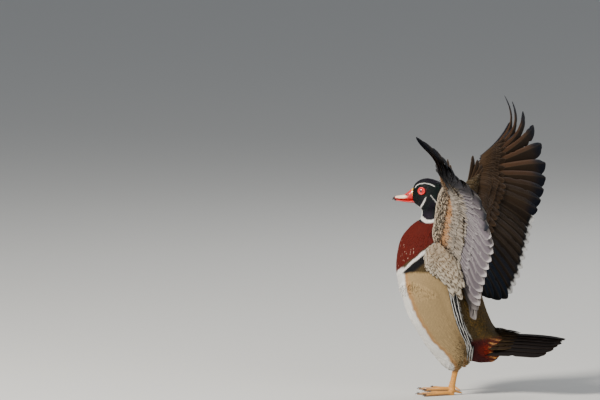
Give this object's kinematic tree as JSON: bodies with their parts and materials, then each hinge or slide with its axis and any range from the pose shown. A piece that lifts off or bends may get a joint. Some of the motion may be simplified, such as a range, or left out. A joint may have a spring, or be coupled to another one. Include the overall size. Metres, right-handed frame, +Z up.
{
  "type": "wood duck",
  "caption": "Life-size male wood duck standing upright on webbed feet, wings raised and spread, short crest, red bill and long square tail.",
  "frame": {"origin": "on the floor, under the middle of the bird's extents", "axes": "+Z up, the bird faces -X, its left side is -Y and its wings spread along Y"},
  "size_m": [0.2486, 0.6306, 0.4019],
  "materials": {
    "head_plumage": "silky feathers, green and purple gloss",
    "breast_plumage": "soft matt feathers with small white spots",
    "body_plumage": "soft matt feathers, finely barred flanks and pale belly",
    "tail_feathers": "smooth feathers with a slight gloss",
    "wing_feathers": "smooth feathers with fine barbs",
    "bill": "smooth horn, soft gloss",
    "eye": "glossy, wet",
    "leg_skin": "scaly skin, slight gloss"
  },
  "bodies": {
    "root": {"head": "head_plumage", "neck": "breast_plumage", "torso": "body_plumage", "tail": "tail_feathers", "bill_upper": "bill", "bill_lower": "bill", "eye_left": "eye", "eye_right": "eye", "wing_left": "wing_feathers", "wing_right": "wing_feathers", "leg_left": "leg_skin", "leg_right": "leg_skin", "foot_left": "leg_skin", "foot_right": "leg_skin"}
  },
  "joints": []
}
